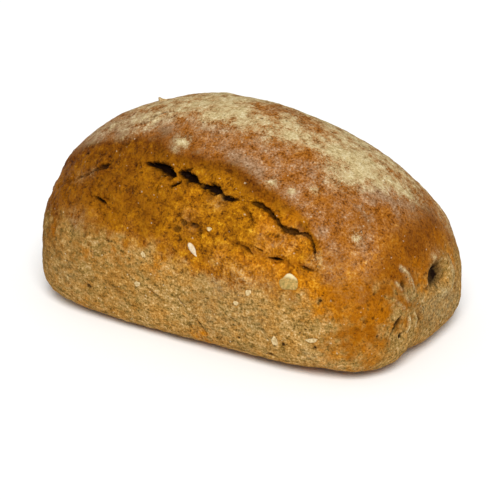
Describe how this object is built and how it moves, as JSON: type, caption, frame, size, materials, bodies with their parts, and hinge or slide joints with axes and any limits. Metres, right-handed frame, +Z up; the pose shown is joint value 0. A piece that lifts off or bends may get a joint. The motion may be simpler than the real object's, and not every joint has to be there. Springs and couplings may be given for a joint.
{
  "type": "tin loaf",
  "caption": "Seeded brown tin loaf with square tin-baked sides, a rounded floured crown and a long burst down one side.",
  "frame": {"origin": "under the middle of the loaf's outline, on the surface that its flat base stands on", "axes": "+X along the loaf towards the end with the bubble hole, +Y away from the side that burst, +Z up"},
  "size_m": [0.23, 0.136, 0.116],
  "materials": {
    "crust": "matt baked bread crust, floured on the crown, orange-brown where it burst and paler tan on the tin-baked sides"
  },
  "bodies": {
    "root": {"loaf": "crust"}
  },
  "joints": []
}
